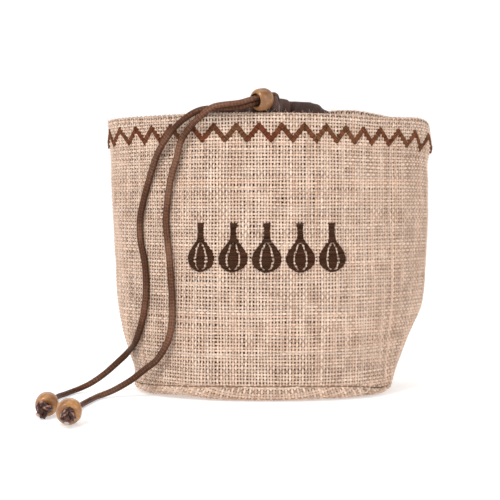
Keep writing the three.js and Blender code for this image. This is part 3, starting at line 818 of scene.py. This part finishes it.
def sew_base_seam():
    """The turned-in edges of wall and base, a dark line between the last thread of each, its dark colour a painted
    shadow of the seam's groove.
    """
    angle = np.linspace(0, 360, 577)[:-1]
    seam = seam_height(angle)
    wobble = smooth_noise(angle / 5, 0 * angle, 65)
    out = unit(wall_point(angle, 6, 0) - wall_point(angle, 6, 4))
    up = np.broadcast_to([0.0, 0.0, 1.0], out.shape)
    spans = (
        ("base_seam_shadow", 0.1, 0.8, 0.6, SEAM_SHADOW_CLOTH),
        ("seam_thread_high", 0.85, 0.45, 0.42, JUTE),
        ("seam_thread_low", -0.7, 0.45, 0.42, JUTE),
    )
    for name, rise, deep, radius, material in spans:
        inset = WEAVE_INSET + deep - 0.15 * wobble + crumple(angle, seam) * 0.9
        centre = wall_point(angle, seam + rise + 0.15 * wobble, inset)
        thick = radius * (1 + 0.15 * smooth_noise(angle / 2, 0 * angle, 66))
        rings = strand_rings(centre, out, up, thick, thick, 8)
        tone = 0.3 + 0.16 * smooth_noise(angle / 3, 0 * angle, 67)
        floats = {"tone": np.repeat(tone, 8), "hue": np.full(8 * len(angle), 0.3)}
        dress(mesh_object(name, rings, [loft_faces(len(angle), 8, True, True)], material, floats), "jute")


sew_base_seam()


def sew_side_seams():
    """The turned-in edge of each panel along both side seams, over the rim and down inside."""
    p = np.arange(9.0, FOLD_START + math.pi * FOLD_RADIUS + (FOLD_START - HEM_FOOT) - 0.5, 0.9)
    height, inset = hem_profile(p)
    outer = np.clip((FOLD_START - p) / 4, 0, 1)
    turned = np.cos(np.clip((p - FOLD_START) / FOLD_RADIUS, 0, math.pi))
    for name, angle, way in (
        ("left_seam_front", 180, 1),
        ("left_seam_back", 180, -1),
        ("right_seam_front", 0, -1),
        ("right_seam_back", 0, 1),
    ):
        depth = inset + 0.3 * turned + crumple(angle, height) * outer
        line = wall_point(angle, height, depth)
        across = unit(wall_point(angle + 0.3, height, depth) - wall_point(angle - 0.3, height, depth))
        out = unit(np.cross(across, np.gradient(line, axis=0)))
        wobble = smooth_noise(p / 5, 0 * p + way, 68)
        centre = line + across * (way * (0.52 + 0.06 * wobble))[:, None]
        thick = 0.5 * (1 + 0.12 * smooth_noise(p / 2, 0 * p + way, 69))
        rings = strand_rings(centre, across, out, thick, thick * 0.8, 6)
        tone = 0.3 + 0.14 * smooth_noise(p / 3, 0 * p + way, 70)
        floats = {"tone": np.repeat(tone, 6), "hue": np.full(6 * len(p), 0.3)}
        dress(tube_mesh(name, rings, JUTE, floats), "jute")


sew_side_seams()


# The dark cloth behind the weave, up the wall and over the floor
def line_bag():
    angle = np.linspace(0, 360, 180, endpoint=False)[None]
    low = seam_height(angle) + 0.2
    height = low + (FOLD_START - 1.5 - low) * np.linspace(0, 1, 48)[:, None] ** 1.15
    tuck = SEAM_TUCK * np.exp(-(((height - seam_height(angle)) / 1.3) ** 2))
    sag = crumple(angle, height) + tuck
    wall = shell_mesh(
        "wall_lining",
        wall_point(angle, height, LINING_OUT + sag),
        wall_point(angle, height, LINING_IN + sag),
        LINING_CLOTH,
    )
    dress(wall, "lining", "front_panel", "back_panel")
    faces = []
    for inset in (LINING_OUT, LINING_IN):
        edge = base_edge(angle, np.linspace(8, 90, 9)[:, None], inset + 0.25)
        edge[..., 2] += foot_lift(angle) * np.linspace(0.1, 1, 9)[:, None]
        foot = edge[-1]
        share = np.linspace(0.94, 0.003, 14)[:, None, None]
        floor = foot[None] * np.array([1, 1, 0]) * share + np.array([0, 0, 1]) * foot[None, :, 2:]
        faces.append(np.concatenate([edge, floor]))
    dress(shell_mesh("floor_lining", faces[0], faces[1], LINING_CLOTH), "lining", "base_panel")


line_bag()


# The gathered lining collar with its cord casing
def collar_middle(angle, along):
    """Middle line of the collar's cloth, from under the hem at 0 to the casing's lip at 1."""
    inward, rise = (table_column(COLLAR_ROWS, i, along) for i in (1, 2))
    foot = RIM_HEIGHT - HEM_DEPTH - GAP - LINING
    inset = np.where(along <= 0.02, CLOTH + 2 * GAP, HEM_THICKNESS + GAP + LINING)
    outer = wall_point(angle, foot, inset)
    top = np.interp(angle % 360, *zip(*COLLAR_TOPS), period=360)
    ring_x = RING_RIGHT + RING_WIDTH / 2 * np.cos(np.radians(angle))
    ring_y = -RING_FORWARD + RING_DEPTH / 2 * np.sin(np.radians(angle))
    x = outer[..., 0] * (1 - inward) + ring_x * inward
    y = outer[..., 1] * (1 - inward) + ring_y * inward
    # The casing is drawn forward where the strands leave it.
    y = y - COLLAR_EXIT[2] * bump(angle, *COLLAR_EXIT[:2]) * np.clip(rise * 2.5 - 0.9, 0, 1)
    z = outer[..., 2] + (top - outer[..., 2]) * rise
    return np.stack([x, y, z], axis=-1)


def gather_collar():
    columns, rows = 600, 30
    angle = np.broadcast_to(np.linspace(0, 360, columns, endpoint=False)[None], (rows, columns))
    along = np.broadcast_to(np.linspace(0, 1, rows)[:, None] ** 0.9, (rows, columns))
    drift = smooth_noise(angle * 16 / 360, along * 1.5, 71)
    phase = 2 * math.pi * (COLLAR_PLEATS * angle / 360 + 0.55 * drift + 0.3 * along)
    strength = 1 + 0.35 * smooth_noise(angle * 32 / 360, along * 0.8, 72)
    strength = strength * (1 - 0.72 * bump(angle, 302, 24)) * (1 - 0.85 * bump(angle, 268, 8))
    wave = np.sign(np.cos(phase)) * np.abs(np.cos(phase)) ** 0.8
    creases = smooth_noise(angle * 64 / 360 * 2, along * 9, 73) + 0.5 * smooth_noise(angle * 64 / 360 * 4, along * 17, 74)
    pleat = table_column(COLLAR_ROWS, 3, along)
    thick = table_column(COLLAR_ROWS, 4, along)
    offset = pleat * (COLLAR_PLEAT_DEPTH * strength * wave + 0.28 * creases)
    middle = collar_middle(angle, along)
    way = unit(collar_middle(angle, np.clip(along + 0.02, 0, 1)) - collar_middle(angle, np.clip(along - 0.02, 0, 1)))
    around = unit(collar_middle(angle + 0.2, along) - collar_middle(angle - 0.2, along))
    out = unit(np.cross(around, way))
    surface = middle + out * offset[..., None]
    half = (thick / 2)[..., None] * out
    collar = shell_mesh("collar_cloth", surface + half, surface - half, LINING_CLOTH)
    dress(collar, "lining", "lining_collar")
    return collar


collar = gather_collar()


# Loose fibres of the jute
def scatter_fibres():
    local = np.random.default_rng(121)
    count = FIBRE_COUNT
    angle = local.uniform(0, 360, count)
    at_rim = local.uniform(0, 1, count) < 0.3
    height = np.where(at_rim, RIM_HEIGHT - local.uniform(0, 1.5, count) ** 2, local.uniform(8, RIM_HEIGHT - 2, count))
    start = wall_point(angle, height, crumple(angle, height) * (height < FOLD_START) + np.where(at_rim, 0.9, 0.45))
    around = unit(wall_point(angle + 0.3, height, 0) - wall_point(angle - 0.3, height, 0))
    out = np.cross(around, [0, 0, 1])
    turn = local.uniform(0, 2 * math.pi, (count, 1))
    flat = around * np.cos(turn) + np.array([0, 0, 1]) * np.sin(turn)
    lean = local.uniform(0.15, 0.7, (count, 1))
    first = unit(flat + out * lean)
    last = unit(flat + around * local.normal(0, 0.6, (count, 1)) - out * 0.2)
    length = local.uniform(1.2, 3.8, (count, 1))
    share = np.linspace(0, 1, 5)[None, :, None]
    centre = start[:, None] + length[:, None] * (first[:, None] * share + (last - first)[:, None] * share**2 / 2)
    run = unit(np.gradient(centre, axis=1))
    side = unit(np.cross(run, out[:, None] + 0.01))
    thick = np.broadcast_to(0.055 * (1 - 0.6 * share[..., 0]), centre.shape[:2])
    rings = strand_rings(centre, side, np.cross(side, run), thick, thick, 3)
    tone = np.broadcast_to(local.uniform(0.3, 0.55, (count, 1)), centre.shape[:2])
    valid = np.ones(centre.shape[:2], bool)
    dress(strand_mesh("loose_fibres", rings, valid, tone, tone * 0, JUTE), "jute")


scatter_fibres()


# Satin stitches, laid side by side on the wall
def wall_frame(angle, height):
    """Frame of the cloth's outer face: a point, the way round, the way up and the way out."""
    place = wall_point(angle, height, crumple(angle, height))
    across = unit(wall_point(angle + 0.2, height, 0) - wall_point(angle - 0.2, height, 0))
    upward = unit(wall_point(angle, height + 0.3, 0) - wall_point(angle, height - 0.3, 0))
    return place, across, upward, unit(np.cross(across, upward))


def stitch_mesh(name, starts, ends, girth_height, dome, material, seed):
    """Stitches from starts to ends, pairs of lengths round the bag from its front and heights."""
    full = np.linspace(90, 450, 5761)
    ring = wall_point(full % 360, girth_height, 0)
    along = np.concatenate([[0], np.cumsum(np.linalg.norm(np.diff(ring, axis=0), axis=1))])
    along -= np.interp(270, full, along)
    local = np.random.default_rng(seed)
    share = np.array([0, 0.14, 0.5, 0.86, 1])[None, :, None]
    flat = starts[:, None] * (1 - share) + ends[:, None] * share
    angle = np.interp(flat[..., 0], along, full) % 360
    place, across, upward, out = wall_frame(angle, flat[..., 1])
    lift = np.array([-0.5, 0.12, dome, 0.12, -0.5]) + local.normal(0, 0.05, (len(starts), 1))
    centre = place + out * lift[..., None]
    run = unit(np.gradient(centre, axis=1))
    side = unit(np.cross(run, out))
    thread = np.full(centre.shape[:2], 0.25) * (1 + 0.15 * local.standard_normal((len(starts), 1)).clip(-1.5, 1.5))
    rings = strand_rings(centre, side, out, thread, thread * 0.9, 5)
    tone = np.broadcast_to(0.35 + 0.12 * local.standard_normal((len(starts), 1)), centre.shape[:2])
    mix = smooth_noise(starts[:, :1] / 9, np.zeros((len(starts), 1)), seed + 1) * 0.5 + 0.5
    hue = np.broadcast_to(mix**2, centre.shape[:2])
    valid = np.ones(centre.shape[:2], bool)
    return strand_mesh(name, rings, valid, tone, hue, material)


def column_stitches(points, half_width, spacing, seed):
    """Stitches square to a line of flat points, a spacing apart."""
    points = np.array(points, float)
    along = np.concatenate([[0], np.cumsum(np.linalg.norm(np.diff(points, axis=0), axis=1))])
    places = np.arange(spacing / 2, along[-1], spacing)
    middle = np.stack([np.interp(places, along, points[:, i]) for i in (0, 1)], axis=-1)
    near = [np.stack([np.interp(places + d, along, points[:, i]) for i in (0, 1)], -1) for d in (-0.4, 0.4)]
    run = unit(near[1] - near[0])
    square = np.stack([-run[:, 1], run[:, 0]], axis=-1)
    reach = half_width + np.random.default_rng(seed).normal(0, 0.06, (2, len(places), 1))
    return middle - square * reach[0], middle + square * reach[1]


def stitch_zigzag():
    middle = RIM_HEIGHT - ZIGZAG_DROP
    girth = np.linalg.norm(np.diff(wall_point(np.linspace(0, 360, 2881) % 360, middle, 0), axis=0), axis=1).sum()
    rest = girth + ZIGZAG_TIPS[0] - ZIGZAG_TIPS[-1]
    count = round(rest / ZIGZAG_PITCH)
    tips = list(ZIGZAG_TIPS) + [ZIGZAG_TIPS[-1] + rest * k / count for k in range(1, count + 1)]
    half = ZIGZAG_STROKE / 2
    starts, ends = [], []
    for k, (left, right) in enumerate(zip(tips[:-1], tips[1:])):
        peak = (left + right) / 2
        for low, high, side in ((left, peak, 1), (peak, right, -1)):
            slope = math.atan2(ZIGZAG_HEIGHT - 2 * ZIGZAG_STROKE, high - low)
            rise = ZIGZAG_HEIGHT / 2 - half / math.cos(slope)
            run = np.array([high - low, 2 * rise * side])
            length = np.linalg.norm(run)
            run /= length
            square = np.array([-run[1], run[0]])
            places = np.arange(-2.0, length + 2.0, STITCH_PITCH)[:, None]
            line = np.array([low, middle - rise * side]) + run * places
            jitter = np.random.default_rng(1000 + 2 * k + side).normal(0, 0.05, (2, len(places)))
            # Each stitch is cut off at the mitres of its leg.
            cuts = [(bound - line[:, 0]) / square[0] for bound in (low, high)]
            lowest, highest = np.minimum(*cuts), np.maximum(*cuts)
            a = np.maximum(lowest, -half + jitter[0])
            b = np.minimum(highest, half + jitter[1])
            keep = b - a > 0.5
            starts.append((line + square * a[:, None])[keep])
            ends.append((line + square * b[:, None])[keep])
    starts, ends = np.concatenate(starts), np.concatenate(ends)
    for side in (starts, ends):
        side[:, 1] -= np.interp(side[:, 0], *zip(*ZIGZAG_DIPS))
    flip = starts[:, 0] > 0.5 * girth
    starts, ends = starts - np.outer(flip, [girth, 0]), ends - np.outer(flip, [girth, 0])
    piece = stitch_mesh("zigzag_embroidery", starts, ends, middle, 0.27, STITCH, 81)
    dress(piece, "embroidery", "zigzag_stitch")


stitch_zigzag()


def stitch_motif():
    """A row of plain bulbs in flat satin stitches, each with a middle clove and two outer ones."""
    heights = np.arange(0.3, BULB_HALVES[-1][0], STITCH_PITCH)
    bulb, clove = (np.interp(heights, *zip(*halves)) for halves in (BULB_HALVES, CLOVE_HALVES))
    has_clove = (heights > CLOVE_HALVES[0][0]) & (heights < CLOVE_HALVES[-1][0])
    gap_edge = np.where(has_clove, clove + CLOVE_GAP, -bulb)
    local = np.random.default_rng(90)
    starts, ends = [], []
    for k in range(MOTIF_COUNT):
        shift = MOTIF_MIDDLE + (k - (MOTIF_COUNT - 1) / 2) * MOTIF_PITCH
        for low, high, drawn in (
            (-bulb, -gap_edge, has_clove),
            (-clove, clove, has_clove),
            (gap_edge, bulb, True),
        ):
            keep = drawn & (high - low > 0.7)
            ragged = local.normal(0, 0.08, (2, len(heights)))
            tilt = 0.12
            starts.append(np.stack([shift + low + ragged[0], MOTIF_FOOT + heights - tilt], -1)[keep])
            ends.append(np.stack([shift + high + ragged[1], MOTIF_FOOT + heights + tilt], -1)[keep])
    height = MOTIF_FOOT + 13
    piece = stitch_mesh("bulb_motif", np.concatenate(starts), np.concatenate(ends), height, 0.27, MOTIF, 91)
    dress(piece, "embroidery")


stitch_motif()


# Cords
def braided_tube(name, centres, tangents, shade):
    side = unit(np.cross(tangents, CORD_FACE))
    up = np.cross(side, tangents)
    sides = 20
    turns = 2 * math.pi * np.arange(sides) / sides
    step = np.linalg.norm(np.diff(centres, axis=0), axis=1)
    along = np.concatenate([[0], np.cumsum(step)])[:, None]
    braid = np.sin(4 * turns + 2 * math.pi * along / BRAID_PITCH) * np.sin(4 * turns - 2 * math.pi * along / BRAID_PITCH)
    wobble = 0.03 * smooth_noise(along / 7, turns[None] * 2 / math.pi, 101)
    flat = np.interp(along / along[-1], *zip(*CORD_FLATNESS))
    r = CORD / 2 * (0.965 + 0.045 * braid + wobble)
    rings = (
        centres[:, None]
        + (r * flat * np.cos(turns))[..., None] * side[:, None]
        + (r * (1.6 - 0.6 * flat) * np.sin(turns))[..., None] * up[:, None]
    )
    shade = shade - np.interp(along / along[-1], *zip(*CORD_DARKER))
    patches = smooth_noise(along / 11, turns[None] * 0, 102)
    # Painted light and shade: the cord's tone is lighter on its side towards the front and up and darker on its
    # underside, and lighter on the braid's ridges than in its grooves; the patches vary at random.
    tone = 0.32 + 0.18 * braid + 0.13 * patches + 0.2 * np.sin(turns) + shade
    hue = 0.5 + 0.5 * smooth_noise(along / 16, turns[None] * 2 / math.pi, 103)
    return tube_mesh(name, rings, CORD_THREAD, {"tone": tone.reshape(-1), "hue": hue.reshape(-1)})


def lathe(name, profile, centre, axis, sides, material):
    """A turned ring from a closed profile of radii and places along an axis."""
    side, up = turned_frames(np.array([axis]), (0.1, 0.2, 1))
    turns = 2 * math.pi * np.arange(sides) / sides
    radius, place = np.array(profile, float).T
    round_way = np.cos(turns)[:, None] * side + np.sin(turns)[:, None] * up
    grid = centre + radius[:, None, None] * round_way[None] + place[:, None, None] * np.asarray(axis)
    return mesh_object(name, grid, [loft_faces(len(profile), sides, True, True)], material)


def bead_profile(diameter, length, bore):
    outside = [
        (diameter / 2 * (1 - 0.31 * abs(2 * y) ** 3.4), -length * y) for y in np.linspace(0.47, -0.47, 23)
    ]
    lip, mouth = diameter / 2 * 0.62, bore / 2
    rounding = [(lip, length * 0.492), ((lip + mouth) / 2 + 0.25, length * 0.5), (mouth + 0.3, length * 0.485)]
    bore_line = [(mouth + 0.06, length * 0.44), (mouth, length * 0.36), (mouth, 0)]
    top = rounding + bore_line
    bottom = [(r, -y) for r, y in reversed(top)][1:]
    return outside + top + bottom


def knot_mesh(name, centre, axis, diameter, turn, tail, material):
    """A tied knot: a cord wound through itself three times, with a short cut tail."""
    t = np.linspace(0, 2 * math.pi, 121)[:-1]
    scale = (diameter - 2.7) / 6.4
    loop = np.stack([np.sin(t) + 2 * np.sin(2 * t), np.cos(t) - 2 * np.cos(2 * t), -1.75 * np.sin(3 * t)], -1) * scale
    side, up = turned_frames(np.array([axis]), (0.2, 0.1, 1))
    c, s = math.cos(turn), math.sin(turn)
    frame_x, frame_y = c * side[0] + s * up[0], -s * side[0] + c * up[0]
    world = centre + loop @ np.stack([frame_x, frame_y, np.asarray(axis)])
    tangent = unit(np.roll(world, -1, 0) - np.roll(world, 1, 0))
    normal = unit(world - centre)
    normal = unit(normal - tangent * (normal * tangent).sum(-1, keepdims=True))
    binormal = np.cross(tangent, normal)
    sides = 14
    turns = 2 * math.pi * np.arange(sides) / sides
    folds = 0.09 * np.sin(5 * turns[None] + 9 * t[:, None]) + 0.1 * smooth_noise(t[:, None] * 6, turns[None] * 2, 111)
    r = (1.4 * (1 + folds))[..., None]
    rings = world[:, None] + r * np.cos(turns)[:, None] * normal[:, None] + r * np.sin(turns)[:, None] * binormal[:, None]
    index = np.arange(rings.shape[0] * sides).reshape(-1, sides)
    tone = 0.27 + 0.42 * smooth_noise(t[:, None] * 5, turns[None] * 2, 112)
    hue = 0.5 + 0.5 * smooth_noise(t[:, None] * 2, turns[None], 113)
    # The tail leaves the knot's face and ends in a cut tuft.
    share = np.linspace(0, 1, 16)[:, None]
    path = centre + np.asarray(axis) * 1.2 + np.array(tail) * share - np.array([0, 0, 1.1]) * share**2
    way = unit(np.gradient(path, axis=0))
    wide, high = turned_frames(way, (1, 0.2, 0.1))
    tuft = 1.25 * (1 + 0.12 * np.sin(6 * turns[None] + 3 * share) + 0.22 * np.clip(share - 0.75, 0, 1) * np.cos(9 * turns[None]))
    stub = (
        path[:, None]
        + (tuft * np.cos(turns))[..., None] * wide[:, None]
        + (tuft * np.sin(turns))[..., None] * high[:, None]
    )
    stub_index = np.arange(stub.shape[0] * sides).reshape(-1, sides) + index.size
    faces = [loft_faces(*index.shape, True, True), loft_faces(*stub_index.shape, False, True) + index.size]
    faces += [stub_index[:1, ::-1], stub_index[-1:]]
    vertices = np.concatenate([rings.reshape(-1, 3), stub.reshape(-1, 3)])
    stub_tone = np.broadcast_to(0.3 + 0.7 * np.clip(share - 0.85, 0, 1) / 0.15, tuft.shape)
    floats = {
        "tone": np.concatenate([tone.reshape(-1), stub_tone.reshape(-1)]),
        "hue": np.concatenate([hue.reshape(-1), np.zeros(stub_tone.size)]),
    }
    return mesh_object(name, vertices, faces, material, floats)


strands = {}
for key, route in STRAND_ROUTES.items():
    centres, tangents, length = route_points((*STRAND_ROOTS[key], *route), 0.45)
    strand = braided_tube(f"strand_{key}", centres, tangents, CORD_SHADES[key])
    dress(strand, "cord", f"cord_strand_{key}")
    sizes = END_BEADS[key]
    place = np.searchsorted(np.arange(len(centres)) * length / (len(centres) - 1), length - sizes["length"] / 2)
    bead = lathe(
        f"bead_{key}",
        bead_profile(sizes["diameter"], sizes["length"], CORD + 2 * CORD_CLEARANCE),
        centres[place],
        tangents[place],
        56,
        BEAD_WOOD,
    )
    dress(bead, "wood", f"end_bead_{key}")
    knot_middle = centres[-1] + tangents[place] * (GAP + sizes["knot"] * 0.47) + KNOT_SHIFTS[key]
    knot = knot_mesh(
        f"knot_{key}", knot_middle, tangents[place], sizes["knot"] + 0.8, KNOT_TURNS[key], KNOT_TAILS[key], KNOT_THREAD
    )
    dress(knot, "cord", f"end_knot_{key}")
    exit_at = int(np.argmin(np.linalg.norm(centres - np.array(route[0]), axis=1)))
    spot = exit_at + round(TOGGLE_FROM_CASING / 0.45)
    strands[key] = {
        "piece": strand,
        "centres": centres,
        "exit": exit_at,
        "length": length,
        "ends": [bead, knot],
        "toggle_spot": centres[spot],
        "toggle_way": tangents[spot],
    }

toggle_spots = [strand["toggle_spot"] for strand in strands.values()]
toggle_ways = [strand["toggle_way"] for strand in strands.values()]
toggle = lathe(
    "toggle",
    bead_profile(
        TOGGLE_DIAMETER,
        TOGGLE_LENGTH,
        np.linalg.norm(toggle_spots[0] - toggle_spots[1]) + CORD + 2 * CORD_CLEARANCE,
    ),
    (toggle_spots[0] + toggle_spots[1]) / 2,
    unit(unit(toggle_ways[0] + toggle_ways[1]) + np.array([0, -0.42, 0.0])),
    56,
    TOGGLE_WOOD,
)
dress(toggle, "wood", "toggle_bead")


# Plain studio
def make_studio():
    floor_material, nodes, links, shader = new_material("studio_floor")
    shader.inputs["Base Color"].default_value = (0.75, 0.75, 0.75, 1)
    shader.inputs["Roughness"].default_value = 0.9
    shader.inputs["Emission Color"].default_value = (1, 1, 1, 1)
    shader.inputs["Emission Strength"].default_value = 0.42
    # A round floor that curves up into a wall all round
    curve = [(1.0, 0.0)]
    for turn in np.linspace(0, math.pi / 2, 16):
        curve.append((2400 + 900 * math.sin(turn), 900 - 900 * math.cos(turn)))
    curve.append((3300.0, 2600.0))
    radius, height = np.array(curve).T[..., None]
    way = 2 * math.pi * np.arange(64) / 64
    grid = np.stack([radius * np.cos(way), radius * np.sin(way), height + 0 * way], axis=-1)
    floor = mesh_object("studio_floor", grid, [loft_faces(len(curve), 64, False, True)], floor_material)
    world = bpy.data.worlds.new("studio")
    bpy.context.scene.world = world
    world.use_nodes = True
    world.node_tree.nodes["Background"].inputs["Color"].default_value = (1, 1, 1, 1)
    world.node_tree.nodes["Background"].inputs["Strength"].default_value = 0.25
    for name, place, size, power in (
        ("key", (-0.9, -1.3, 1.6), 0.7, 23),
        ("fill", (1.4, -1.1, 0.9), 1.0, 7),
        ("top", (0.1, 0.3, 1.8), 1.4, 10),
    ):
        data = bpy.data.lights.new(name, "AREA")
        data.shape = "SQUARE"
        data.size = size
        data.energy = power
        light = bpy.data.objects.new(name, data)
        bpy.context.collection.objects.link(light)
        light.location = place
        light.rotation_euler = (Vector((0, 0, 0.08)) - Vector(place)).to_track_quat("-Z", "Y").to_euler()
    bpy.context.scene.view_settings.view_transform = "Standard"


make_studio()
